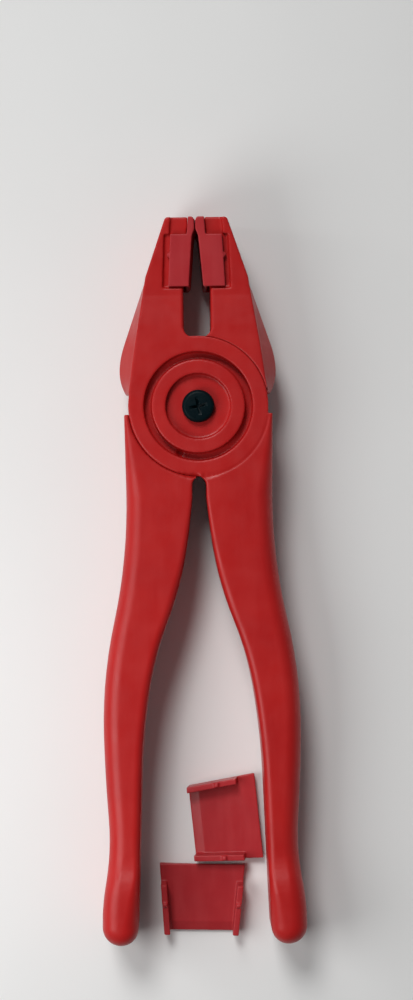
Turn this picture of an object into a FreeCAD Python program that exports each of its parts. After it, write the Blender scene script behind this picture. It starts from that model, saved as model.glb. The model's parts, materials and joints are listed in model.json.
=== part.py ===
import FreeCAD, Part
import math
import os

import Sketcher

# Running pliers for scored glass. Two levers, each the same moulding turned over, cross at a
# half-lapped hub and turn on a screw. The origin is on the pivot axis, in the plane of the hub's
# back face. +X is across the tool, +Y runs towards the jaws and +Z leaves the front of the hub.

# Sizes in millimetres. Heights along Z count from the hub's back face.
SIZES = {
    # hub
    "hub_thick": 20.0,
    "hub_rad": 19.45,
    "shoulder_rad": 19.65,
    "lap_gap": 0.2,
    "moat_inner_rad": 13.0,
    "moat_outer_rad": 15.2,
    "moat_deep": 3.0,
    "recess_rad": 9.1,
    "recess_deep": 2.0,
    "bore_rad": 2.53,
    "dimple_x": -5.3,
    "dimple_y": -13.0,
    "dimple_rad": 0.9,
    "dimple_deep": 0.6,
    "crotch_fillet": 2.7,
    "throat_fillet": 2.2,
    # how far the jaw tips and handle ends stand out past the hub's faces
    "flare": 2.2,
    # jaw: side faces and pad seat
    "pad_proud": 0.8,
    "wing_low": 7.0,
    # slip-on pads
    "pad_foot_y": 33.3,
    "pad_foot_half": 10.6,
    "pad_tip_half": 12.2,
    "flange_thick": 1.7,
    "heel_long": 2.8,
    "heel_deep": 0.75,
    "flange_top_y": 47.6,
    "flange_foot_x": 7.95,
    "flange_tip_x": 7.2,
    "pad_play": 0.05,
    "crown_rad": 90.0,
    "crown_shift": 0.4,
    "nub_rad": 0.7,
    "nub_y": 42.0,
    "nub_tall": 1.2,
    # pivot screw and lock nut
    "head_rad": 4.55,
    "head_flat_rad": 3.3,
    "head_rim_tall": 1.2,
    "head_tall": 2.5,
    "head_gap": 0.05,
    "screw_rad": 2.45,
    "screw_long": 17.7,
    "screw_point": 0.5,
    "cross_long": 2.5,
    "cross_half": 0.5,
    "cross_deep": 1.5,
    "cross_turn": 12.0,
    "nut_flats": 8.0,
    "nut_pocket_flats": 8.1,
    "nut_seat": 5.9,
    "nut_hex_tall": 3.9,
    "nut_tall": 5.0,
    "nut_bore_rad": 2.5,
    "collar_rad": 3.7,
    "insert_rad": 3.2,
    "insert_bore_rad": 2.47,
    "insert_tall": 1.4,
    # spare pads lying on their faces between the handles
    "spare_across_x": -0.9,
    "spare_across_y": -149.2,
    "spare_across_turn": -1.5,
    "spare_along_x": -2.8,
    "spare_along_y": -118.5,
    "spare_along_turn": -84.5,
    "spare_float": 0.05,
}

# Corners of the outlines, each two distances. Those of a handle and a jaw are (across, along).
CORNERS = {
    # handle, from its shoulder at the hub down the palm side, round the end and up the inner side
    "handle_hub": (12.0, -2.2),
    "handle_shoulder": (20.7, -2.2),
    "handle_neck": (20.45, -24.0),
    "palm_hollow": (24.3, -60.0),
    "palm_crest": (27.6, -92.0),
    "palm_waist": (26.55, -115.0),
    "pommel_rise": (27.5, -133.0),
    "pommel_crest": (28.5, -141.5),
    "end_outer": (28.55, -145.0),
    "end_foot": (23.4, -150.2),
    "end_inner": (18.5, -145.2),
    "inner_straight": (17.0, -104.0),
    "inner_bend": (14.5, -79.0),
    "inner_sweep": (9.4, -60.5),
    "inner_neck": (3.6, -39.0),
    "crotch": (1.95, -25.5),
    "handle_root": (1.95, -12.0),
    # jaw core, from the tip down the outer side, then up the throat and the pad's seat
    "tip_inner": (2.3, 52.5),
    "tip_outer": (7.7, 52.5),
    "tip_corner": (8.86, 51.68),
    "jaw_shoulder": (14.3, 36.0),
    "jaw_side": (17.3, 18.5),
    "jaw_heel": (19.4, 3.6),
    "jaw_root": (8.0, 3.6),
    "throat_foot": (3.75, 12.0),
    "seat_foot": (3.75, 32.6),
    # grip wing on the jaw's side: its outline half way through the thickness and at the faces
    "wing_top": (14.1, 36.5),
    "wing_swell": (20.7, 17.2),
    "wing_crest": (21.95, 11.0),
    "wing_foot": (20.3, 3.6),
    "wing_core_foot": (15.0, 3.6),
    "wing_core_top": (12.0, 36.5),
    "face_top": (14.0, 36.5),
    "face_swell": (17.2, 17.2),
    "face_crest": (18.2, 11.0),
    "face_foot": (19.1, 3.6),
    # slopes of the jaw's and the handle's faces, as (along, height)
    "waist": (31.0, 0.0),
    "slope_hub": (22.5, 20.0),
    "slope_palm": (-124.0, 20.0),
    "slope_middle": (-130.5, 21.1),
    "slope_pommel": (-137.0, 22.2),
    # recess in the jaw's side face for the pad's flange
    "bay_foot": (9.5, 33.0),
    "bay_side": (8.9, 48.0),
    "bay_neck": (7.5, 48.0),
    "bay_mouth": (7.0, 54.0),
    # face of a pad half way across, without its crown
    "pad_face_foot": (2.0, 33.3),
    "pad_face_top": (0.95, 46.4),
    "nose_low": (0.15, 48.9),
    "nose_high": (0.15, 51.7),
    "nose_tip": (0.85, 52.7),
}

FRONT_LEVER = "front_lever"
BACK_LEVER = "back_lever"
ORIGIN = -1
START = 1
END = 2
CENTRE = 3
# how far a cutting outline runs past the solid it cuts
SPARE_CUT = 4.0


# ---------------------------------------------------------------- sizes and their expressions


class Term:
    """A size: its number, for drawing, and its expression, which ties it to the sheet."""

    def __init__(self, number, text):
        self.number = number
        self.text = text

    def __add__(self, other):
        other = as_term(other)
        return Term(self.number + other.number, f"({self.text} + {other.text})")

    def __sub__(self, other):
        other = as_term(other)
        return Term(self.number - other.number, f"({self.text} - {other.text})")

    def __mul__(self, other):
        other = as_term(other)
        return Term(self.number * other.number, f"({self.text} * {other.text})")

    def __truediv__(self, other):
        other = as_term(other)
        return Term(self.number / other.number, f"({self.text} / {other.text})")

    def __neg__(self):
        return self * -1


def as_term(value):
    """A plain number as a size of its own."""
    return value if isinstance(value, Term) else Term(value, f"({value})")


class Sizes:
    """The sheet's sizes, each read as an attribute named after its cell."""

    def __init__(self, values):
        self.values = values

    def __getattr__(self, name):
        return Term(self.values[name], f"Dims.{name}")


def fill_sheet(sheet):
    """Writes every size into the sheet, one row each, and returns them by name."""
    values = dict(SIZES)
    for name, (first, second) in CORNERS.items():
        values[name + "_u"] = first
        values[name + "_v"] = second
    for row, (name, value) in enumerate(values.items(), start=1):
        sheet.set(f"A{row}", name)
        sheet.set(f"B{row}", str(value))
        sheet.setAlias(f"B{row}", name)
    return values


doc = FreeCAD.newDocument("running_pliers")
dims = doc.addObject("Spreadsheet::Sheet", "Dims")
size = Sizes(fill_sheet(dims))
doc.recompute()


def corner(name, side=1, shift=0.0):
    """A corner of an outline, turned to one side of the tool and shifted across it."""
    across = Term(size.values[name + "_u"], f"Dims.{name}_u")
    along = Term(size.values[name + "_v"], f"Dims.{name}_v")
    return across * side + shift, along


def corners(names, side=1):
    """Several corners of one outline, by name."""
    return {name: corner(name, side) for name in names}


def flank(along):
    """How far a pad's side stands from the middle plane, at a place along the jaw."""
    rise = size.pad_tip_half - size.pad_foot_half
    run = size.tip_inner_v - size.pad_foot_y
    return size.pad_foot_half + (as_term(along) - size.pad_foot_y) * rise / run


def seat(along):
    """How far the jaw's seat for the pad stands from the tool's long axis, along the jaw."""
    rise = size.seat_foot_u - size.tip_inner_u
    run = size.tip_inner_v - size.seat_foot_v
    return size.seat_foot_u - (as_term(along) - size.seat_foot_v) * rise / run


FLANK_ANGLE = math.degrees(
    math.atan2(flank(1.0).number - flank(0.0).number, 1.0)
)
MIDDLE = size.hub_thick / 2


# ---------------------------------------------------------------- sketch helpers


def plane_of(body, role):
    """One of the body's own origin planes."""
    return next(p for p in body.Origin.OriginFeatures if p.Role == role)


def add_sketch(body, name, height=0.0, role="XY_Plane"):
    """An empty sketch on one of the body's planes, raised along that plane's normal."""
    sketch = body.newObject("Sketcher::SketchObject", f"{body.Name}_{name}")
    sketch.AttachmentSupport = [(plane_of(body, role), "")]
    sketch.MapMode = "FlatFace"
    sketch.setExpression("AttachmentOffset.Base.z", as_term(height).text)
    return sketch


def bind(sketch, constraint, expression):
    """Adds a constraint whose value follows the sheet."""
    index = sketch.addConstraint(constraint)
    sketch.setExpression(f"Constraints[{index}]", expression)


def pin(sketch, edge, end, place):
    """Fixes one end of an edge at a place."""
    across, along = (as_term(value) for value in place)
    bind(sketch, Sketcher.Constraint("DistanceX", edge, end, across.number), across.text)
    bind(sketch, Sketcher.Constraint("DistanceY", edge, end, along.number), along.text)


def draw_circle(sketch, radius, across=0.0, along=0.0):
    """A circle tied to the sheet."""
    across, along = as_term(across), as_term(along)
    centre = FreeCAD.Vector(across.number, along.number, 0)
    axis = FreeCAD.Vector(0, 0, 1)
    edge = sketch.addGeometry(Part.Circle(centre, axis, radius.number), False)
    bind(sketch, Sketcher.Constraint("Radius", edge, radius.number), radius.text)
    pin(sketch, edge, CENTRE, (across, along))


def tangent_arc(start, end, heading):
    """The arc from start to end that leaves along heading, as (arc, its first end, its last
    end, the heading at its end). A sketch holds every arc anticlockwise, so one that turns
    clockwise is drawn from its far end."""
    chord = end - start
    swing = math.remainder(math.atan2(chord.y, chord.x) - heading, 2 * math.pi)
    radius = chord.Length / (2 * math.sin(abs(swing)))
    left = 1 if swing > 0 else -1
    normal = FreeCAD.Vector(-math.sin(heading), math.cos(heading), 0)
    centre = start + normal * (radius * left)
    first, last = (start, end) if left > 0 else (end, start)
    circle = Part.Circle(centre, FreeCAD.Vector(0, 0, 1), radius)
    from_angle = math.atan2(first.y - centre.y, first.x - centre.x)
    to_angle = math.atan2(last.y - centre.y, last.x - centre.x)
    arc = Part.ArcOfCircle(circle, from_angle, to_angle)
    ends = (START, END) if left > 0 else (END, START)
    return arc, ends[0], ends[1], heading + 2 * swing


def draw_outline(sketch, places, arcs=()):
    """A closed outline through places. The edges that arrive at the places named in arcs are
    arcs, each tangent to the edge before it, and the other edges are straight."""
    names = list(places)
    points = [
        FreeCAD.Vector(as_term(u).number, as_term(v).number, 0) for u, v in places.values()
    ]
    edges = []
    heading = 0.0
    for i, start in enumerate(points):
        arrival = (i + 1) % len(points)
        end = points[arrival]
        if names[arrival] in arcs:
            arc, first, last, heading = tangent_arc(start, end, heading)
            edges.append((sketch.addGeometry(arc, False), first, last, True))
        else:
            line = Part.LineSegment(start, end)
            heading = math.atan2(end.y - start.y, end.x - start.x)
            edges.append((sketch.addGeometry(line, False), START, END, False))
    for i, (edge, first, _, curved) in enumerate(edges):
        before, _, before_last, _ = edges[i - 1]
        joint = "Tangent" if curved else "Coincident"
        sketch.addConstraint(Sketcher.Constraint(joint, before, before_last, edge, first))
        pin(sketch, edge, first, places[names[i]])


# ---------------------------------------------------------------- feature helpers


def new_body(label):
    """An empty body for one piece."""
    body = doc.addObject("PartDesign::Body", label)
    body.Label = label
    return body


def pad(body, sketch, length):
    """Fills a sketch's outline upwards along its normal."""
    feature = body.newObject("PartDesign::Pad", f"{sketch.Name}_pad")
    feature.Profile = sketch
    feature.setExpression("Length", as_term(length).text)
    doc.recompute()
    return feature


def expect_less(body, volume, name):
    """Stops if a cut has taken nothing away."""
    if not body.Shape.Volume < volume - 1e-6:
        raise RuntimeError(f"{name} cuts nothing")


def pocket(body, sketch, depth=None, upward=False, both=False):
    """Cuts a sketch's outline out of the body, downwards unless it says otherwise."""
    volume = body.Shape.Volume
    feature = body.newObject("PartDesign::Pocket", f"{sketch.Name}_pocket")
    feature.Profile = sketch
    feature.Reversed = upward
    if both:
        feature.SideType = "Symmetric"
    if depth is None:
        feature.Type = "ThroughAll"
    else:
        feature.setExpression("Length", as_term(depth).text)
    doc.recompute()
    expect_less(body, volume, sketch.Name)
    return feature


def loft(body, sketches, kind="AdditiveLoft"):
    """A solid with straight sides through several sketches."""
    volume = body.Shape.Volume if body.Tip else 0.0
    feature = body.newObject(f"PartDesign::{kind}", f"{sketches[0].Name}_loft")
    feature.Profile = sketches[0]
    feature.Sections = sketches[1:]
    feature.Ruled = True
    doc.recompute()
    if kind == "SubtractiveLoft":
        expect_less(body, volume, sketches[0].Name)
    return feature


def edges_near(shape, places, reach=0.6):
    """The upright edges of a shape whose middles stand nearest to places, by name."""
    found = []
    for place in places:
        best = min(
            (
                (edge.CenterOfMass - place).Length,
                f"Edge{i}",
            )
            for i, edge in enumerate(shape.Edges, start=1)
        )
        if best[0] > reach:
            raise RuntimeError(f"no edge near {place}")
        found.append(best[1])
    return found


def fillet(body, names, radius, label):
    """Rounds edges of the body's newest feature."""
    base = body.Tip
    feature = body.newObject("PartDesign::Fillet", f"{body.Name}_{label}")
    feature.Base = (base, names)
    feature.setExpression("Radius", radius.text)
    doc.recompute()
    return feature


# ---------------------------------------------------------------- levers


def lever_disc(body):
    """The lever's half of the lapped hub."""
    sketch = add_sketch(body, "disc", MIDDLE + size.lap_gap / 2)
    draw_circle(sketch, size.hub_rad)
    pad(body, sketch, MIDDLE - size.lap_gap / 2)


def lever_handle(body):
    """The handle, full thickness, from the hub to its rounded end."""
    names = (
        "handle_hub handle_shoulder handle_neck palm_hollow palm_crest palm_waist"
        " pommel_rise pommel_crest end_outer end_foot end_inner inner_straight inner_bend"
        " inner_sweep inner_neck crotch handle_root"
    ).split()
    arcs = (
        "palm_hollow palm_crest palm_waist pommel_rise pommel_crest end_foot end_inner"
        " inner_bend inner_sweep inner_neck crotch"
    ).split()
    sketch = add_sketch(body, "handle", -size.flare)
    draw_outline(sketch, corners(names), arcs)
    pad(body, sketch, size.hub_thick + size.flare * 2)


def lever_jaw(body):
    """The jaw's core, on the other side of the tool from the handle."""
    names = (
        "tip_inner tip_outer tip_corner jaw_shoulder jaw_side jaw_heel jaw_root"
        " throat_foot seat_foot"
    ).split()
    sketch = add_sketch(body, "jaw", -size.flare)
    draw_outline(sketch, corners(names, side=-1), ["tip_corner"])
    pad(body, sketch, size.hub_thick + size.flare * 2)


def lever_wing(body):
    """The swelling on the jaw's outer side, fullest half way through the thickness."""
    inner = ["wing_core_foot", "wing_core_top"]
    full = ["wing_top", "wing_swell", "wing_crest", "wing_foot"] + inner
    thin = ["face_top", "face_swell", "face_crest", "face_foot"] + inner
    heights = {
        "wing_back": (thin, as_term(0.0)),
        "wing_low": (full, size.wing_low),
        "wing_high": (full, size.hub_thick - size.wing_low),
        "wing_front": (thin, size.hub_thick),
    }
    sketches = []
    for name, (outline, height) in heights.items():
        sketch = add_sketch(body, name, height)
        draw_outline(sketch, corners(outline, side=-1), [outline[2], outline[3]])
        sketches.append(sketch)
    doc.recompute()
    loft(body, sketches)


def side_air(turn):
    """The air past one face of a lever, seen from the side, as (along, height) places."""
    tip = size.tip_inner_v + SPARE_CUT
    end = size.end_foot_v - SPARE_CUT
    waist_height = MIDDLE + flank(size.waist_u) - size.pad_proud
    tip_height = MIDDLE + flank(tip) - size.pad_proud
    clear = size.hub_thick + size.flare + SPARE_CUT
    places = {
        "tip": (tip, tip_height),
        "waist": (size.waist_u, waist_height),
        "hub": (size.slope_hub_u, size.slope_hub_v),
        "palm": (size.slope_palm_u, size.slope_palm_v),
        "slope_middle": (size.slope_middle_u, size.slope_middle_v),
        "pommel": (size.slope_pommel_u, size.slope_pommel_v),
        "end": (end, size.hub_thick + size.flare),
        "end_clear": (end, clear),
        "tip_clear": (tip, clear),
    }
    if turn:
        return {name: (along, size.hub_thick - high) for name, (along, high) in places.items()}
    return places


def lever_faces(body):
    """Slopes the jaw out to its tip and the handle out to its end, on both faces."""
    for name, turn in (("front_air", False), ("back_air", True)):
        sketch = add_sketch(body, name, role="YZ_Plane")
        draw_outline(sketch, side_air(turn), ["slope_middle", "pommel"])
        pocket(body, sketch, both=True)


def lever_lap(body):
    """Clears the other lever's half of the hub."""
    sketch = add_sketch(body, "lap", -size.flare - SPARE_CUT)
    draw_circle(sketch, size.shoulder_rad)
    depth = size.flare + SPARE_CUT + MIDDLE + size.lap_gap / 2
    pocket(body, sketch, depth, upward=True)


def lever_bays(body):
    """The open recesses in the jaw's two side faces, which the pad's flanges lie in."""
    drop = size.flange_thick + size.pad_play
    mouth = {
        "bay_axis_foot": (as_term(0.0), size.bay_foot_v),
        "bay_axis_tip": (as_term(0.0), size.bay_mouth_v),
    }
    places = {name: corner(name, side=-1) for name in ("bay_mouth", "bay_neck", "bay_side")}
    places["bay_foot"] = corner("bay_foot", side=-1)
    outline = {"bay_axis_tip": mouth["bay_axis_tip"], **places}
    outline["bay_axis_foot"] = mouth["bay_axis_foot"]
    for name, way in (("front_bay", 1), ("back_bay", -1)):
        floor = MIDDLE + (flank(0.0) - drop) * way
        sketch = add_sketch(body, name, floor)
        tilt = FreeCAD.Rotation(FreeCAD.Vector(1, 0, 0), FLANK_ANGLE * way)
        offset = FreeCAD.Placement(FreeCAD.Vector(0, 0, floor.number), tilt)
        sketch.AttachmentOffset = offset
        draw_outline(sketch, outline)
        pocket(body, sketch, size.flare + SPARE_CUT, upward=way > 0)


def lever_hub_details(body):
    """The moat, the recess round the screw's head, the bore and the mould's mark."""
    moat = add_sketch(body, "moat", size.hub_thick)
    draw_circle(moat, size.moat_outer_rad)
    draw_circle(moat, size.moat_inner_rad)
    pocket(body, moat, size.moat_deep)
    recess = add_sketch(body, "recess", size.hub_thick)
    draw_circle(recess, size.recess_rad)
    pocket(body, recess, size.recess_deep)
    bore = add_sketch(body, "bore", size.hub_thick)
    draw_circle(bore, size.bore_rad)
    pocket(body, bore)
    dimple = add_sketch(body, "dimple", size.hub_thick - size.moat_deep)
    draw_circle(dimple, size.dimple_rad, size.dimple_x, size.dimple_y)
    pocket(body, dimple, size.dimple_deep)


def hexagon(flats):
    """The corners of a hexagon, as (across, along), from its width over the flats."""
    radius = flats / math.sqrt(3)
    places = {}
    for i in range(6):
        angle = math.radians(60 * i)
        places[f"corner_{i}"] = (radius * math.cos(angle), radius * math.sin(angle))
    return places


def nut_pocket(body):
    """The hexagonal pocket that keeps the lock nut from turning, below the recess."""
    floor = size.hub_thick - size.recess_deep
    sketch = add_sketch(body, "nut_pocket", floor)
    draw_outline(sketch, hexagon(size.nut_pocket_flats))
    pocket(body, sketch, floor - (size.hub_thick - size.nut_seat))


def round_corners(body):
    """Rounds the inner corners where the hub meets the handle and the throat."""
    high = 0.75 * size.hub_thick.number
    for label, radius, across in (
        ("crotch_round", size.crotch_fillet, size.crotch_u.number),
        ("throat_round", size.throat_fillet, -size.throat_foot_u.number),
    ):
        way = -1 if across > 0 else 1
        along = way * math.sqrt(size.hub_rad.number ** 2 - across ** 2)
        place = FreeCAD.Vector(across, along, high)
        fillet(body, edges_near(body.Shape, [place]), radius, label)


def make_lever(label, captive_nut):
    """One lever. Both are the same moulding, except for the nut's pocket in the back one."""
    body = new_body(label)
    lever_disc(body)
    lever_handle(body)
    lever_jaw(body)
    lever_wing(body)
    lever_faces(body)
    lever_lap(body)
    lever_bays(body)
    lever_hub_details(body)
    if captive_nut:
        nut_pocket(body)
    round_corners(body)
    return body


# ---------------------------------------------------------------- pads


def pad_section(body, name, along, inner, outer, half):
    """A rectangle across the pad at a place along the jaw: from inner to outer, measured across
    the tool, and half its width either side of the middle plane."""
    sketch = add_sketch(body, name, -as_term(along), role="XZ_Plane")
    places = {
        "inner_low": (inner, MIDDLE - half),
        "outer_low": (outer, MIDDLE - half),
        "outer_high": (outer, MIDDLE + half),
        "inner_high": (inner, MIDDLE + half),
    }
    draw_outline(sketch, places)
    return sketch


def pad_block(body):
    """The pad's outer shape: wider at the tip than at the foot."""
    foot = size.pad_foot_y
    tip = size.tip_inner_v
    lean = (size.flange_foot_x - size.flange_tip_x) / (size.flange_top_y - foot)
    tip_x = size.flange_foot_x - lean * (tip - foot)
    clear = as_term(SPARE_CUT)
    sections = [
        pad_section(body, "block_foot", foot, -size.flange_foot_x, clear, flank(foot)),
        pad_section(body, "block_tip", tip, -tip_x, clear, flank(tip)),
    ]
    doc.recompute()
    loft(body, sections)


def pad_channel(body):
    """The channel between the flanges, which the jaw fills."""
    far = -size.flange_foot_x - SPARE_CUT
    sections = []
    for name, along in (
        ("channel_foot", size.pad_foot_y - 1),
        ("channel_tip", size.tip_inner_v + 1),
    ):
        back = -seat(along) + size.pad_play
        half = flank(along) - size.flange_thick
        sections.append(pad_section(body, name, along, far, back, half))
    doc.recompute()
    loft(body, sections, "SubtractiveLoft")


def pad_flange_tops(body):
    """Ends the flanges short of the tip."""
    tip = size.tip_inner_v + SPARE_CUT
    top = size.flange_top_y
    far = -size.flange_foot_x - SPARE_CUT
    sketch = add_sketch(body, "flange_top", MIDDLE)
    places = {
        "seat_top": (-seat(top) + size.pad_play, top),
        "seat_tip": (-seat(tip) + size.pad_play, tip),
        "far_tip": (far, tip),
        "far_top": (far, top),
    }
    draw_outline(sketch, places)
    pocket(body, sketch, both=True)


def pad_face(body, crown):
    """Cuts the face, crowned across its width (crown 1) or hollowed (crown -1), with the nose
    that meets the other pad at the tip."""
    shift = size.crown_shift * crown
    names = ["pad_face_foot", "pad_face_top", "nose_low", "nose_high", "nose_tip"]
    face = {name: corner(name, side=-1, shift=shift) for name in names}
    clear = size.pad_face_foot_u + SPARE_CUT
    foot = size.pad_face_foot_v - SPARE_CUT
    tip = size.nose_tip_v + SPARE_CUT
    places = {
        "low": (face["pad_face_foot"][0], foot),
        **face,
        "high": (face["nose_tip"][0] - 1, tip),
        "clear_high": (clear, tip),
        "clear_low": (clear, foot),
    }
    sketch = add_sketch(body, "face", MIDDLE)
    draw_outline(sketch, places, ["nose_low"])
    centre = size.crown_rad * -crown
    low = FreeCAD.Vector(centre.number, 0, 0)
    high = FreeCAD.Vector(centre.number, 10, 0)
    axis = sketch.addGeometry(Part.LineSegment(low, high), True)
    pin(sketch, axis, START, (centre, 0.0))
    pin(sketch, axis, END, (centre, 10.0))
    doc.recompute()
    volume = body.Shape.Volume
    groove = body.newObject("PartDesign::Groove", f"{body.Name}_groove")
    groove.Profile = sketch
    groove.ReferenceAxis = (sketch, ["Axis0"])
    groove.Angle = 60.0
    groove.Midplane = True
    doc.recompute()
    expect_less(body, volume, "pad face")


def pad_heel(body):
    """Bevels the channel's floor at the pad's foot, where the jaw slides in."""
    foot = size.pad_foot_y
    top = foot + size.heel_long
    floor = -seat(foot) + size.pad_play
    places = {
        "heel_top": (-seat(top) + size.pad_play, top),
        "heel_void_top": (floor - 1, top),
        "heel_void_foot": (floor - 1, foot - 1),
        "heel_foot_clear": (floor + size.heel_deep, foot - 1),
        "heel_foot": (floor + size.heel_deep, foot),
    }
    sketch = add_sketch(body, "heel", MIDDLE)
    draw_outline(sketch, places)
    pocket(body, sketch, (size.pad_foot_half - size.flange_thick) * 2, both=True)


def pad_nubs(body):
    """The small nub on the free edge of each flange, which snaps into the jaw."""
    middle = size.flange_thick / 2
    for name, height in (
        ("front_nub", MIDDLE + flank(size.nub_y) - middle - size.nub_tall / 2),
        ("back_nub", MIDDLE - flank(size.nub_y) + middle - size.nub_tall / 2),
    ):
        lean = (size.flange_foot_x - size.flange_tip_x) / (size.flange_top_y - size.pad_foot_y)
        edge = size.flange_foot_x - lean * (size.nub_y - size.pad_foot_y)
        sketch = add_sketch(body, name, height)
        draw_circle(sketch, size.nub_rad, -edge, size.nub_y)
        pad(body, sketch, size.nub_tall)


def make_pad(label, crown):
    """A slip-on jaw pad, drawn on the front lever's jaw."""
    body = new_body(label)
    pad_block(body)
    pad_channel(body)
    pad_heel(body)
    pad_flange_tops(body)
    pad_nubs(body)
    pad_face(body, crown)
    return body


def turned_over():
    """The half turn about the tool's long axis that makes a back piece of a front one."""
    turn = FreeCAD.Rotation(FreeCAD.Vector(0, 1, 0), 180)
    return FreeCAD.Placement(FreeCAD.Vector(0, 0, size.hub_thick.number), turn)


def lying(across, along, turn, crown):
    """Lays a pad on its nose and foot with its flanges up, turned about the vertical, with the
    middle of its foot at (across, along)."""
    foot_y = size.pad_face_foot_v.number
    foot_high = size.pad_face_foot_u.number - size.crown_shift.number * crown
    nose_high = size.nose_low_u.number - size.crown_shift.number * crown
    if crown < 0:
        sag = (flank(size.pad_foot_y).number ** 2) / (2 * size.crown_rad.number)
        foot_high -= sag
        nose_high -= (flank(size.nose_low_v).number ** 2) / (2 * size.crown_rad.number)
    run = size.nose_low_v.number - foot_y
    tilt = math.degrees(math.atan2(foot_high - nose_high, run))
    to_origin = FreeCAD.Placement(
        FreeCAD.Vector(0, -foot_y, -MIDDLE.number), FreeCAD.Rotation()
    )
    upright = FreeCAD.Placement(
        FreeCAD.Vector(), FreeCAD.Rotation(FreeCAD.Vector(0, 1, 0), 90)
    )
    rested = FreeCAD.Placement(
        FreeCAD.Vector(), FreeCAD.Rotation(FreeCAD.Vector(1, 0, 0), tilt)
    )
    low = foot_high * math.cos(math.radians(tilt))
    base = size.spare_float.number - size.flare.number - low
    moved = FreeCAD.Placement(
        FreeCAD.Vector(across.number, along.number, base),
        FreeCAD.Rotation(FreeCAD.Vector(0, 0, 1), turn.number),
    )
    return moved * rested * upright * to_origin


# ---------------------------------------------------------------- pivot


def make_screw():
    """The pan-head pivot screw, with its head's underside at its own origin."""
    body = new_body("pivot_screw")
    sketch = add_sketch(body, "profile", role="XZ_Plane")
    places = {
        "tail_axis": (0.0, -size.screw_long),
        "tail": (size.screw_rad - size.screw_point, -size.screw_long),
        "point": (size.screw_rad, size.screw_point - size.screw_long),
        "neck": (size.screw_rad, 0.0),
        "seat": (size.head_rad, 0.0),
        "rim": (size.head_rad, size.head_rim_tall),
        "dome": (size.head_flat_rad, size.head_tall),
        "top_axis": (0.0, size.head_tall),
    }
    draw_outline(sketch, places, ["dome"])
    turn = body.newObject("PartDesign::Revolution", "screw_turn")
    turn.Profile = sketch
    turn.ReferenceAxis = (sketch, ["V_Axis"])
    turn.Angle = 360.0
    doc.recompute()
    cross = add_sketch(body, "cross", size.head_tall)
    cross.AttachmentOffset = FreeCAD.Placement(
        FreeCAD.Vector(0, 0, size.head_tall.number),
        FreeCAD.Rotation(FreeCAD.Vector(0, 0, 1), size.cross_turn.number),
    )
    long, half = size.cross_long, size.cross_half
    arm = [(half, -half), (long, -half), (long, half)]
    places = {}
    for quarter in range(4):
        for i, (u, v) in enumerate(arm):
            places[f"arm_{quarter}_{i}"] = (u, v)
        arm = [(-v, u) for u, v in arm]
    draw_outline(cross, places)
    pocket(body, cross, size.cross_deep)
    high = size.hub_thick.number - size.recess_deep.number + size.head_gap.number
    body.Placement = FreeCAD.Placement(FreeCAD.Vector(0, 0, high), FreeCAD.Rotation())
    return body


def make_nut():
    """The hexagonal lock nut, with its collar towards the back and its seat at its origin."""
    body = new_body("lock_nut")
    hexed = add_sketch(body, "hexagon", -size.nut_hex_tall)
    draw_outline(hexed, hexagon(size.nut_flats))
    pad(body, hexed, size.nut_hex_tall)
    collar = add_sketch(body, "collar", -size.nut_tall)
    draw_circle(collar, size.collar_rad)
    pad(body, collar, size.nut_tall)
    bore = add_sketch(body, "bore", 0.0)
    draw_circle(bore, size.nut_bore_rad)
    pocket(body, bore)
    seat_ring = add_sketch(body, "insert_seat", -size.nut_tall)
    draw_circle(seat_ring, size.insert_rad)
    pocket(body, seat_ring, size.insert_tall, upward=True)
    body.Placement = FreeCAD.Placement(
        FreeCAD.Vector(0, 0, size.nut_seat.number), FreeCAD.Rotation()
    )
    return body


def make_insert():
    """The nylon ring that grips the screw's thread."""
    body = new_body("lock_nut_insert")
    ring = add_sketch(body, "ring")
    draw_circle(ring, size.insert_rad - size.head_gap / 2)
    draw_circle(ring, size.insert_bore_rad)
    pad(body, ring, size.insert_tall)
    high = size.nut_seat.number - size.nut_tall.number
    body.Placement = FreeCAD.Placement(FreeCAD.Vector(0, 0, high), FreeCAD.Rotation())
    return body


# ---------------------------------------------------------------- assembly


def build():
    """Makes every piece in its place."""
    front = make_lever(FRONT_LEVER, captive_nut=False)
    back = make_lever(BACK_LEVER, captive_nut=True)
    back.Placement = turned_over()
    front_pad = make_pad("front_lever_pad", crown=1)
    back_pad = make_pad("back_lever_pad", crown=-1)
    back_pad.Placement = turned_over()
    along = make_pad("spare_pad_convex", crown=1)
    along.Placement = lying(
        size.spare_along_x, size.spare_along_y, size.spare_along_turn, crown=1
    )
    across = make_pad("spare_pad_concave", crown=-1)
    across.Placement = lying(
        size.spare_across_x, size.spare_across_y, size.spare_across_turn, crown=-1
    )
    return [front, back, front_pad, back_pad, along, across, make_screw(), make_nut(),
            make_insert()]


def check_document():
    """Stops at any object that failed to build."""
    for item in doc.Objects:
        if "Invalid" in item.State or "Error" in item.State:
            raise RuntimeError(f"{item.Label}: {item.State}")


def write_steps(bodies):
    """Writes each piece to its own STEP file, once every piece is sound."""
    for body in bodies:
        shape = body.Shape
        if shape.isNull() or not shape.isValid() or len(shape.Solids) != 1:
            raise RuntimeError(f"{body.Label} is not one valid solid")
    os.makedirs("parts", exist_ok=True)
    for body in bodies:
        body.Shape.exportStep(f"parts/{body.Label}.step")
        box = body.Shape.BoundBox
        print(f"{body.Label}: {body.Shape.Volume:.0f} mm3, z {box.ZMin:.2f} to {box.ZMax:.2f}")


pieces = build()
doc.recompute()
check_document()
write_steps(pieces)
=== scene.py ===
"""Running pliers lying on a pale table: finished meshes, materials, light and camera."""

import json
import math

import bmesh
import bpy
import numpy as np
from mathutils import Matrix, Vector
from mathutils.kdtree import KDTree


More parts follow.
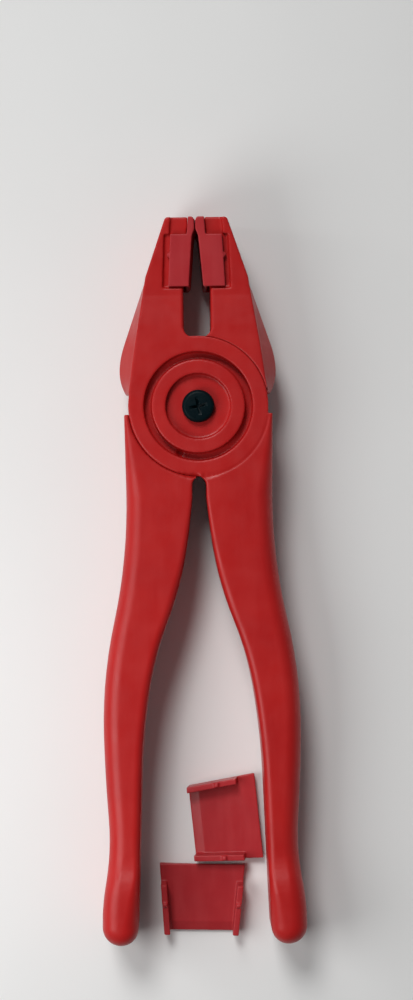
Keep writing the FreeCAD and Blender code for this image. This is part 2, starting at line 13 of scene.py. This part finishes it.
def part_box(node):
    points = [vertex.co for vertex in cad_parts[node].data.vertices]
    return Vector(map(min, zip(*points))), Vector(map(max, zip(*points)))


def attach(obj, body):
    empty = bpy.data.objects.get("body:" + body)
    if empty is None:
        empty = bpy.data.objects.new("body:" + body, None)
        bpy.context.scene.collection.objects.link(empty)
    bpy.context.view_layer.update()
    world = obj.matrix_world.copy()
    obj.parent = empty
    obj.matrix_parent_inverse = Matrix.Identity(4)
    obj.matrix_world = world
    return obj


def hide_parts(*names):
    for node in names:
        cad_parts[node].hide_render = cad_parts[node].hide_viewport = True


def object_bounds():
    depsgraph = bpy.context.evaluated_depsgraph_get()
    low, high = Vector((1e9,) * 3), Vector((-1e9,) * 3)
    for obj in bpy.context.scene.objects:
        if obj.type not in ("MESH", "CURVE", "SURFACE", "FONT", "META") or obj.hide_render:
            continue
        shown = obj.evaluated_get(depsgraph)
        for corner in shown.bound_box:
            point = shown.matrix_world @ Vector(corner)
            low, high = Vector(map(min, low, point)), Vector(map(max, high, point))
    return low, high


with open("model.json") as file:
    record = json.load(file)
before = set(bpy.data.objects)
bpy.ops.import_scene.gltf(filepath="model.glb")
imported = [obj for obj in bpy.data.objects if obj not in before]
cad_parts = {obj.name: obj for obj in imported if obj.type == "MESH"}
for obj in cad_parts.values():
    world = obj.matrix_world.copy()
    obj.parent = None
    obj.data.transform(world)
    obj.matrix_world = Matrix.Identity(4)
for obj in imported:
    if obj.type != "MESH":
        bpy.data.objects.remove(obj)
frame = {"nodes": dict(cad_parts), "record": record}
cad_low, cad_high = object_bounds()

MM = 0.001

# The named sizes below are in millimetres, and a height counts from the hub's back face unless it
# says otherwise. The lights, the table and the camera's clipping keep to metres, the scene's unit.

# how round a lever's long edges are
PALM_EDGE = 4.6
INNER_EDGE = 2.2
END_EDGE = 4.2
THROAT_EDGE = 1.0
CROTCH_EDGE = 0.6
SHOULDER_EDGE = 0.8
# how far below the pivot those radii start to change, and over what length; the palm's radius
# also comes in with the way a wall faces, from -1 inwards to 1 outwards
END_FROM, END_SPAN = 130.0, 14.0
NECK_FROM, NECK_SPAN = 21.0, 30.0
SHOULDER_SPAN = 22.0
FACING_FROM, FACING_SPAN = -0.35, 1.0
# how far below the pivot the handle's walls start, how far above that their edges are still
# rounded, and the band that holds the throat
HANDLE_START = 3.0
EDGE_OVERRUN = 0.4
THROAT_FOOT, THROAT_TOP, THROAT_HALF = 21.5, 33.0, 4.2
# the heights between which a wall is read, and how far a wall may lean
WALL_LOW, WALL_HIGH = 7, 13
WALL_LEAN = 0.3
# the stretch of the tool in which the faces' heights are read, and the step
FACES_FROM, FACES_TO, FACES_STEP = -151.0, 54.0, 1.0

# the hub's disc in one lever and the other lever's shoulder round it, and where their walls
# are drawn to
DISC_RADIUS, DISC_DRAWN = 19.45, 19.51
SHOULDER_RADIUS, SHOULDER_DRAWN = 19.65, 19.59
WALL_REACH = 0.07
# the band beside the seam that is softened less, and by how much
SEAM_FROM, SEAM_TO = 18.9, 20.2
SEAM_SOFTNESS = 0.35

# the cells of the even meshes, how many times each mesh is softened, and the reach of the weld
LEVER_VOXEL, LEVER_TIMES = 0.28, 6
PAD_VOXEL, PAD_TIMES = 0.17, 9
NUT_VOXEL, NUT_TIMES = 0.09, 4
INSERT_VOXEL, INSERT_TIMES = 0.07, 3
WELD_REACH = 0.001

# pivot screw's head: the round of its rim, and the crown's round with its centre's height above
# the seat
HEAD_RADIUS = 4.55
HEAD_TALL = 2.5
RIM_ROUND = 0.18
CROWN_ROUND, CROWN_HIGH = 1.35, 1.15
# the dome stays a hair below the CAD's top, and its last ring is this small
DOME_SHY = 0.01
LAST_RING = 0.02
# its shank, the heights of the plain shank's rings, and its tip as (radius, height from the end)
SHANK_RADIUS = 2.45
SHANK_HEIGHTS = (8.0, 11.0, 14.0, 17.0)
TIP = ((1.55, 0.0), (1.75, 0.05), (1.95, 0.15))
# its thread, cut where the turned radius lies between the two given, and the fine rings that
# carry it, which run on a little past the thread's top
THREAD_TOP, THREAD_FADE, THREAD_RUNOUT = 6.0, 0.6, 0.4
THREAD_PITCH, THREAD_DEEP = 0.8, 0.42
THREAD_STEP = 0.05
THREADED_RADII = (1.6, 2.6)
AROUND_SCREW = 128

# cross recess: its floor above the head's seat, how far its cutter stands out, the half length and
# half width of a wing at the floor and at the cutter's top, and its turn in degrees
CROSS_FLOOR = 0.95
CROSS_OVER = 0.4
WING_FLOOR = (1.0, 0.28)
WING_TOP = (2.95, 0.52)
CROSS_TURN = 12

# camera: how much of the tool's length the view holds at the front of the hub, the camera's
# distance from there, how far right of and above the middle of the view the pivot stands, and how
# far the camera leans left and rolls, in degrees
VIEW_HIGH = 278.0
CAMERA_FAR = 650.0
PIVOT_OFF = (-2.28, 26.16)
HUB_FRONT = 20.0
CAMERA_LEFT = 0.6
CAMERA_ROLL = 0.75


# ---------------------------------------------------------------- mesh helpers


def add_object(name, mesh):
    """An object holding a mesh, in the scene."""
    thing = bpy.data.objects.new(name, mesh)
    bpy.context.scene.collection.objects.link(thing)
    return thing


def baked(thing):
    """Replaces an object's mesh by what its modifiers make of it, and drops them."""
    graph = bpy.context.evaluated_depsgraph_get()
    graph.update()
    mesh = bpy.data.meshes.new_from_object(thing.evaluated_get(graph))
    thing.modifiers.clear()
    thing.data = mesh
    return thing


def solid_copy(node, name, voxel_mm):
    """A closed, even mesh of a CAD node's shape."""
    mesh = frame["nodes"][node].data.copy()
    mesh.materials.clear()
    welded = bmesh.new()
    welded.from_mesh(mesh)
    bmesh.ops.remove_doubles(welded, verts=welded.verts, dist=WELD_REACH * MM)
    welded.to_mesh(mesh)
    welded.free()
    thing = add_object(name, mesh)
    remesh = thing.modifiers.new("even", "REMESH")
    remesh.mode = "VOXEL"
    remesh.voxel_size = voxel_mm * MM
    return baked(thing)


def smooth(thing, times, group=""):
    """Softens a mesh's edges, evenly unless a vertex group weights them."""
    soft = thing.modifiers.new("soft", "SMOOTH")
    soft.factor = 0.5
    soft.vertex_group = group
    soft.iterations = times
    baked(thing)


def coordinates(mesh):
    """A mesh's vertices as an array, in millimetres."""
    flat = np.empty(len(mesh.vertices) * 3)
    mesh.vertices.foreach_get("co", flat)
    return flat.reshape(-1, 3) / MM


def normals(mesh):
    """A mesh's vertex normals as an array."""
    flat = np.empty(len(mesh.vertices) * 3)
    mesh.vertex_normals.foreach_get("vector", flat)
    return flat.reshape(-1, 3)


def move_vertices(mesh, places):
    """Writes an array of places in millimetres back to a mesh."""
    mesh.vertices.foreach_set("co", (places * MM).ravel())
    mesh.update()


def progress(value, start, span):
    """How far a value has come from a start, as a share of a span, from 0 to 1."""
    return min(1.0, max(0.0, (value - start) / span))


def join_rings(grid, low, high):
    """A band of faces between two rings with the same number of vertices."""
    for k in range(len(low)):
        n = (k + 1) % len(low)
        grid.faces.new((low[k], low[n], high[n], high[k]))


def finish_piece(thing, node, material):
    """Gives a piece its body, slot and material, and hides the CAD node it takes the place of."""
    thing.data.shade_smooth()
    thing.data.materials.clear()
    thing.data.materials.append(material)
    body = next(b for b, nodes in frame["record"]["behaviour"]["bodies"].items() if node in nodes)
    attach(thing, body)
    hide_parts(node)


# ---------------------------------------------------------------- materials


class Shader:
    """A material under construction: makes nodes and joins them."""

    def __init__(self, name):
        self.material = bpy.data.materials.new(name)
        self.material.use_nodes = True
        self.tree = self.material.node_tree
        self.surface = self.tree.nodes["Principled BSDF"]
        self.place = self.node("ShaderNodeTexCoord").outputs["Object"]

    def node(self, kind, **settings):
        made = self.tree.nodes.new(kind)
        for name, value in settings.items():
            setattr(made, name, value)
        return made

    def join(self, out, into):
        self.tree.links.new(out, into)

    def noise(self, size_mm, detail=3.0, rough=0.5, stretch=(1, 1, 1)):
        """Noise with lumps of about the given size."""
        mapping = self.node("ShaderNodeMapping")
        mapping.inputs["Scale"].default_value = stretch
        self.join(self.place, mapping.inputs["Vector"])
        made = self.node("ShaderNodeTexNoise")
        made.inputs["Scale"].default_value = 1.0 / (size_mm * MM)
        made.inputs["Detail"].default_value = detail
        made.inputs["Roughness"].default_value = rough
        self.join(mapping.outputs["Vector"], made.inputs["Vector"])
        return made.outputs["Fac"]

    def ramp(self, factor, low, high, from_value, to_value):
        """Spreads a factor between low and high over two values."""
        made = self.node("ShaderNodeMapRange")
        made.inputs["From Min"].default_value = low
        made.inputs["From Max"].default_value = high
        made.inputs["To Min"].default_value = from_value
        made.inputs["To Max"].default_value = to_value
        self.join(factor, made.inputs["Value"])
        return made.outputs["Result"]

    def mix(self, factor, first, second):
        """A colour between two, each a colour or an output."""
        made = self.node("ShaderNodeMix", data_type="RGBA")
        self.join(factor, made.inputs["Factor"])
        for socket, value in ((made.inputs[6], first), (made.inputs[7], second)):
            if isinstance(value, tuple):
                socket.default_value = (*value, 1.0)
            else:
                self.join(value, socket)
        return made.outputs[2]

    def colour(self, out):
        self.join(out, self.surface.inputs["Base Color"])

    def roughness(self, out):
        self.join(out, self.surface.inputs["Roughness"])

    def sheen(self, level):
        """How strongly the surface mirrors light, 0.5 being Blender's own."""
        self.surface.inputs["Specular IOR Level"].default_value = level

    def bump(self, heights):
        """Stacks bumps, each (height output, depth in mm)."""
        below = None
        for height, depth_mm in heights:
            made = self.node("ShaderNodeBump")
            made.inputs["Strength"].default_value = 1.0
            made.inputs["Distance"].default_value = depth_mm * MM
            self.join(height, made.inputs["Height"])
            if below is not None:
                self.join(below, made.inputs["Normal"])
            below = made.outputs["Normal"]
        self.join(below, self.surface.inputs["Normal"])

    def worn_and_highlit_edges(self, most):
        """A paler tint on convex edges, partly rubbed wear and partly painted highlight: nothing on a
        flat face, the given most on a sharp convex edge.
        """
        sharpness = self.node("ShaderNodeNewGeometry").outputs["Pointiness"]
        return self.ramp(sharpness, 0.53, 0.62, 0, most)


def plastic(name, base, dark, pale, rough, grain_mm):
    """Moulded plastic: slightly cloudy colour, a pale tint on convex edges that is partly rubbed wear
    and partly painted highlight, and a fine moulded grain.
    """
    made = Shader(name)
    clouds = made.ramp(made.noise(14, 4), 0.35, 0.65, 0, 1)
    tone = made.mix(clouds, dark, base)
    streaks = made.ramp(made.noise(3.5, 3, stretch=(1, 0.16, 1)), 0.45, 0.75, 0, 0.22)
    tone = made.mix(streaks, tone, pale)
    # pale tint on convex edges: partly rubbed wear, partly a painted highlight along the rounded edges
    tone = made.mix(made.worn_and_highlit_edges(0.35), tone, pale)
    made.colour(tone)
    made.roughness(made.ramp(made.noise(5, 4), 0.3, 0.7, rough - 0.05, rough + 0.07))
    made.bump([(made.noise(2.4, 2), 0.03), (made.noise(grain_mm, 3, 0.6), 0.02)])
    made.sheen(0.3)
    return made.material


def black_steel(name):
    """Black oxide on steel, rubbed to bare metal along its edges."""
    made = Shader(name)
    patches = made.ramp(made.noise(1.6, 4), 0.35, 0.7, 0, 1)
    tone = made.mix(patches, (0.0004, 0.0050, 0.0070), (0.0009, 0.0072, 0.0095))
    tone = made.mix(made.worn_and_highlit_edges(0.22), tone, (0.03, 0.05, 0.055))
    made.colour(tone)
    made.roughness(made.ramp(made.noise(0.6, 4), 0.3, 0.7, 0.34, 0.5))
    made.bump([(made.noise(0.25, 3, 0.6), 0.006)])
    made.sheen(0.09)
    return made.material


def nylon(name):
    """Milky nylon."""
    made = Shader(name)
    clouds = made.ramp(made.noise(2, 3), 0.3, 0.7, 0, 1)
    made.colour(made.mix(clouds, (0.62, 0.61, 0.56), (0.7, 0.7, 0.66)))
    made.roughness(made.ramp(made.noise(1, 3), 0.3, 0.7, 0.4, 0.5))
    made.bump([(made.noise(0.3, 3), 0.006)])
    return made.material


# ---------------------------------------------------------------- pieces


def face_heights(places):
    """The heights of a lever's front and back faces at each vertex's place along it."""
    steps = np.arange(FACES_FROM, FACES_TO, FACES_STEP)
    which = np.digitize(places[:, 1], steps)
    top = np.full(len(steps) + 1, -1e9)
    low = np.full(len(steps) + 1, 1e9)
    np.maximum.at(top, which, places[:, 2])
    np.minimum.at(low, which, places[:, 2])
    middles = steps - FACES_STEP / 2
    front = np.interp(places[:, 1], middles, top[:-1])
    back = np.interp(places[:, 1], middles, low[:-1])
    return front, back


def edge_radius(side, along, outward):
    """How round a lever's long edge is, in mm: most on the palm's side of the handle, less on
    its inner side and in the throat, and least beside the hub. The side is 1 for a handle that
    lies towards +X and -1 for one towards -X, and outward is the way the wall faces."""
    if along > 0:
        return THROAT_EDGE
    down = -along
    inner = INNER_EDGE + (END_EDGE - INNER_EDGE) * progress(down, END_FROM, END_SPAN)
    inner = CROTCH_EDGE + (inner - CROTCH_EDGE) * progress(down, NECK_FROM, NECK_SPAN)
    palm = SHOULDER_EDGE + (PALM_EDGE - SHOULDER_EDGE) * progress(down, HANDLE_START, SHOULDER_SPAN)
    return inner + (palm - inner) * progress(outward[0] * side, FACING_FROM, FACING_SPAN)


def tree_of_walls(places, facing, handle_or_throat):
    """The upright walls seen from above, to find the one nearest to a vertex."""
    upright = np.abs(facing[:, 2]) < WALL_LEAN
    middle = (places[:, 2] > WALL_LOW) & (places[:, 2] < WALL_HIGH)
    chosen = np.nonzero(upright & middle & handle_or_throat)[0]
    tree = KDTree(len(chosen))
    for i in chosen:
        tree.insert((places[i, 0], places[i, 1], 0.0), int(i))
    tree.balance()
    return tree


def round_long_edges(mesh, side):
    """Rounds the long edges of a lever where its faces meet its upright walls."""
    places = coordinates(mesh)
    facing = normals(mesh)
    front, back = face_heights(places)
    along = places[:, 1]
    throat = (along > THROAT_FOOT) & (along < THROAT_TOP) & (np.abs(places[:, 0]) < THROAT_HALF)
    tree = tree_of_walls(places, facing, (along < -HANDLE_START) | throat)
    gap = np.minimum(front - places[:, 2], places[:, 2] - back)
    rounded = (along < EDGE_OVERRUN - HANDLE_START) | (throat & (gap < THROAT_EDGE))
    for i in np.nonzero((gap < PALM_EDGE) & rounded)[0]:
        x, y, z = places[i]
        _, index, reach = tree.find((x, y, 0.0))
        if reach > PALM_EDGE:
            continue
        outward = facing[index, :2] / max(np.hypot(*facing[index, :2]), 1e-9)
        radius = edge_radius(side, y, outward)
        across, high = radius - reach, radius - gap[i]
        length = math.hypot(across, high)
        if across <= 0 or high <= 0 or length <= radius:
            continue
        shrink = 1 - radius / length
        places[i, 0] -= outward[0] * across * shrink
        places[i, 1] -= outward[1] * across * shrink
        places[i, 2] += high * shrink * (-1 if front[i] - z < z - back[i] else 1)
    move_vertices(mesh, places)


def close_seam(mesh):
    """Draws the hub's disc and shoulder walls together, so that the seam between two levers is
    as fine as a running fit."""
    places = coordinates(mesh)
    reach = np.hypot(places[:, 0], places[:, 1])
    walls = ((DISC_RADIUS, DISC_DRAWN), (SHOULDER_RADIUS, SHOULDER_DRAWN))
    for wall, target in walls:
        for i in np.nonzero(np.abs(reach - wall) < WALL_REACH)[0]:
            places[i, :2] *= target / reach[i]
    move_vertices(mesh, places)


def seam_weights(lever):
    """A vertex group that holds back the softening beside the seam."""
    places = coordinates(lever.data)
    reach = np.hypot(places[:, 0], places[:, 1])
    beside = (reach > SEAM_FROM) & (reach < SEAM_TO)
    group = lever.vertex_groups.new(name="softened")
    group.add([int(i) for i in np.nonzero(~beside)[0]], 1.0, "REPLACE")
    group.add([int(i) for i in np.nonzero(beside)[0]], SEAM_SOFTNESS, "REPLACE")
    return group.name


def make_lever(node, side, material):
    """A lever with its edges rounded as they leave the mould."""
    lever = solid_copy(node, node + "_moulding", LEVER_VOXEL)
    round_long_edges(lever.data, side)
    smooth(lever, LEVER_TIMES, group=seam_weights(lever))
    close_seam(lever.data)
    finish_piece(lever, node, material)


def make_pad(node, material):
    """A jaw pad with softened edges."""
    pad = solid_copy(node, node + "_moulding", PAD_VOXEL)
    smooth(pad, PAD_TIMES)
    finish_piece(pad, node, material)


def lathe(name, profile, around, radius_at=None):
    """A closed solid turned about Z from a profile of (radius, height) in mm. Its two ends
    close on the axis. radius_at may change a radius by its height and angle."""
    grid = bmesh.new()
    rings = []
    for radius, height in profile:
        ring = []
        for k in range(around):
            angle = 2 * math.pi * k / around
            r = radius if radius_at is None else radius_at(radius, height, angle)
            place = (r * math.cos(angle) * MM, r * math.sin(angle) * MM, height * MM)
            ring.append(grid.verts.new(place))
        rings.append(ring)
    for low, high in zip(rings, rings[1:]):
        join_rings(grid, low, high)
    for ring, height, flip in ((rings[0], profile[0][1], True), (rings[-1], profile[-1][1], False)):
        centre = grid.verts.new((0, 0, height * MM))
        for k in range(around):
            n = (k + 1) % around
            grid.faces.new((ring[n], ring[k], centre) if flip else (ring[k], ring[n], centre))
    mesh = bpy.data.meshes.new(name)
    grid.to_mesh(mesh)
    grid.free()
    return add_object(name, mesh)


def arc(centre, radius, start, end, steps):
    """Points of an arc in a profile, angles in degrees."""
    points = []
    for k in range(steps + 1):
        angle = math.radians(start + (end - start) * k / steps)
        points.append((centre[0] + radius * math.cos(angle), centre[1] + radius * math.sin(angle)))
    return points


def thread_radius(radius, height, angle):
    """Cuts a right-hand thread into the screw's lower end: a tenth of the pitch is root, a tenth
    crest and the rest flank."""
    least, most = THREADED_RADII
    if radius < least or radius > most or height > THREAD_TOP:
        return radius
    turn = (height / THREAD_PITCH - angle / (2 * math.pi)) % 1.0
    flank = abs(turn - 0.5) * 2
    depth = THREAD_DEEP * progress(THREAD_TOP, height, THREAD_FADE)
    return radius - depth * (1 - progress(flank, 0.1, 0.8))


def cross_cutter(floor, top):
    """A cross driver's tip: four tapered wings."""
    grid = bmesh.new()
    for quarter in range(2):
        turn = Matrix.Rotation(math.radians(CROSS_TURN + 90 * quarter), 4, "Z")
        rings = []
        for height, (long, half) in ((floor, WING_FLOOR), (top + CROSS_OVER, WING_TOP)):
            corners = ((-long, -half), (long, -half), (long, half), (-long, half))
            places = [turn @ Vector((u * MM, v * MM, height * MM)) for u, v in corners]
            rings.append([grid.verts.new(place) for place in places])
        grid.faces.new(rings[0][::-1])
        grid.faces.new(rings[1])
        join_rings(grid, *rings)
    mesh = bpy.data.meshes.new("driver_tip")
    grid.to_mesh(mesh)
    grid.free()
    return add_object("driver_tip", mesh)


def cut(thing, cutter):
    """Takes a cutter out of a piece and drops the cutter."""
    hole = thing.modifiers.new("hole", "BOOLEAN")
    hole.operation = "DIFFERENCE"
    hole.solver = "EXACT"
    hole.use_self = True
    hole.object = cutter
    baked(thing)
    bpy.data.objects.remove(cutter)


def head_outline(seat, top):
    """The head from its seat round the rim and up the dome, as (radius, height)."""
    outline = arc((HEAD_RADIUS - RIM_ROUND, seat + RIM_ROUND), RIM_ROUND, -90, 0, 5)
    outline += arc((HEAD_RADIUS - CROWN_ROUND, seat + CROWN_HIGH), CROWN_ROUND, 0, 62, 14)
    shoulder_radius, shoulder_high = outline[-1]
    dome = top - DOME_SHY - shoulder_high
    for k in range(1, 11):
        inward = 1 - k / 10
        rise = dome * (1 - inward**2.2)
        outline.append((max(shoulder_radius * inward, LAST_RING), shoulder_high + rise))
    return outline


def make_screw(material):
    """The pan-head screw: domed head, cross recess, threaded end."""
    low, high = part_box("pivot_screw")
    tail, top = low.z / MM, high.z / MM
    seat = top - HEAD_TALL
    radius, rise = TIP[-1]
    profile = [(tip_radius, tail + tip_rise) for tip_radius, tip_rise in TIP[:-1]]
    for k in range(int((THREAD_TOP + THREAD_RUNOUT - tail) / THREAD_STEP)):
        threaded = min(SHANK_RADIUS, radius + THREAD_STEP * k)
        profile.append((threaded, tail + rise + THREAD_STEP * k))
    profile += [(SHANK_RADIUS, height) for height in (*SHANK_HEIGHTS, seat)]
    screw = lathe("pivot_screw_turned", profile + head_outline(seat, top), AROUND_SCREW, thread_radius)
    cut(screw, cross_cutter(seat + CROSS_FLOOR, top))
    finish_piece(screw, "pivot_screw", material)


def make_small(node, voxel_mm, times, material):
    """A small turned or pressed part with softened edges."""
    part = solid_copy(node, node + "_made", voxel_mm)
    smooth(part, times)
    finish_piece(part, node, material)


# ---------------------------------------------------------------- stage, light, camera


def make_floor():
    """A pale table top, 6 m square, just under the object."""
    half = 3.0
    mesh = bpy.data.meshes.new("table_top")
    height = cad_low.z - 0.02 * MM
    corners = [(u * half, v * half, height) for u, v in ((-1, -1), (1, -1), (1, 1), (-1, 1))]
    mesh.from_pydata(corners, [], [(0, 1, 2, 3)])
    floor = add_object("table_top", mesh)
    made = Shader("table_paper")
    made.colour(made.mix(made.noise(40, 3), (0.80, 0.80, 0.79), (0.83, 0.83, 0.82)))
    made.surface.inputs["Roughness"].default_value = 0.8
    made.sheen(0.2)
    mesh.materials.append(made.material)


def add_lamp(data, direction):
    """A lamp that shines along a direction."""
    lamp = bpy.data.objects.new(data.name, data)
    bpy.context.scene.collection.objects.link(lamp)
    lamp.rotation_mode = "QUATERNION"
    lamp.rotation_quaternion = direction.to_track_quat("-Z", "Y")
    return lamp


def area_light(name, place, target, width, height, power):
    """A soft rectangular light aimed at a point."""
    data = bpy.data.lights.new(name, "AREA")
    data.shape = "RECTANGLE"
    data.size, data.size_y = width, height
    data.energy = power
    add_lamp(data, Vector(target) - Vector(place)).location = place


def make_sky():
    """A studio's surroundings: dim overhead and paler towards the horizon."""
    world = bpy.data.worlds.new("studio")
    bpy.context.scene.world = world
    world.use_nodes = True
    nodes, links = world.node_tree.nodes, world.node_tree.links
    sky = nodes["Background"]
    sky.inputs["Color"].default_value = (0.97, 0.98, 1.0, 1.0)
    facing = nodes.new("ShaderNodeTexCoord")
    height = nodes.new("ShaderNodeSeparateXYZ")
    fade = nodes.new("ShaderNodeMapRange")
    fade.inputs["From Min"].default_value = 0.02
    fade.inputs["From Max"].default_value = 0.3
    fade.inputs["To Min"].default_value = 0.55
    fade.inputs["To Max"].default_value = 0.11
    links.new(facing.outputs["Generated"], height.inputs["Vector"])
    links.new(height.outputs["Z"], fade.inputs["Value"])
    links.new(fade.outputs["Result"], sky.inputs["Strength"])


def make_light():
    """Soft studio light, most of it from the upper left."""
    make_sky()
    overhead = bpy.data.lights.new("overhead", "SUN")
    overhead.energy = 1.25
    overhead.angle = math.radians(18)
    add_lamp(overhead, Vector((0.22, -0.62, -0.85)))
    area_light("key", (-0.08, 0.24, 0.24), (0, 0.02, 0), 0.12, 0.12, 0.22)
    area_light("side", (-0.17, -0.11, 0.19), (-0.02, -0.09, 0), 0.16, 0.16, 0.35)
    area_light("rim", (-0.42, 0.10, 0.24), (-0.02, 0.02, 0.01), 0.05, 0.25, 0.14)


def make_camera():
    """Looks down on the pliers from slightly left of them, rolled a little."""
    data = bpy.data.cameras.new("camera")
    camera = bpy.data.objects.new("camera", data)
    bpy.context.scene.collection.objects.link(camera)
    bpy.context.scene.camera = camera
    lean = math.radians(CAMERA_LEFT)
    roll = math.radians(CAMERA_ROLL)
    back = Vector((-math.sin(lean), 0, math.cos(lean)))
    up = Vector((math.sin(roll), math.cos(roll), 0))
    right = up.cross(back).normalized()
    up = back.cross(right).normalized()
    across, along = PIVOT_OFF
    pivot = Vector((0, 0, HUB_FRONT))
    place = pivot + back * CAMERA_FAR - right * across - up * along
    basis = Matrix((right, up, back)).transposed()
    camera.matrix_world = Matrix.Translation(place * MM) @ basis.to_4x4()
    data.sensor_width = 36.0
    data.lens = data.sensor_width * CAMERA_FAR / VIEW_HIGH
    data.clip_start = 0.05
    data.clip_end = 20.0


# ---------------------------------------------------------------- scene

body_red = plastic(
    "body_red_plastic",
    base=(0.45, 0.0115, 0.0105),
    dark=(0.41, 0.009, 0.009),
    pale=(0.52, 0.035, 0.033),
    rough=0.38,
    grain_mm=0.30,
)
pad_red = plastic(
    "pad_red_plastic",
    base=(0.42, 0.025, 0.030),
    dark=(0.38, 0.019, 0.025),
    pale=(0.53, 0.07, 0.075),
    rough=0.36,
    grain_mm=0.24,
)
steel = black_steel("black_oxide_steel")
milky = nylon("milky_nylon")

make_lever("front_lever", 1, body_red)
make_lever("back_lever", -1, body_red)
for pad_node in ("front_lever_pad", "back_lever_pad", "spare_pad_convex", "spare_pad_concave"):
    make_pad(pad_node, pad_red)
make_screw(steel)
make_small("lock_nut", NUT_VOXEL, NUT_TIMES, steel)
make_small("lock_nut_insert", INSERT_VOXEL, INSERT_TIMES, milky)

make_floor()
make_light()
make_camera()
bpy.context.scene.view_settings.view_transform = "Standard"
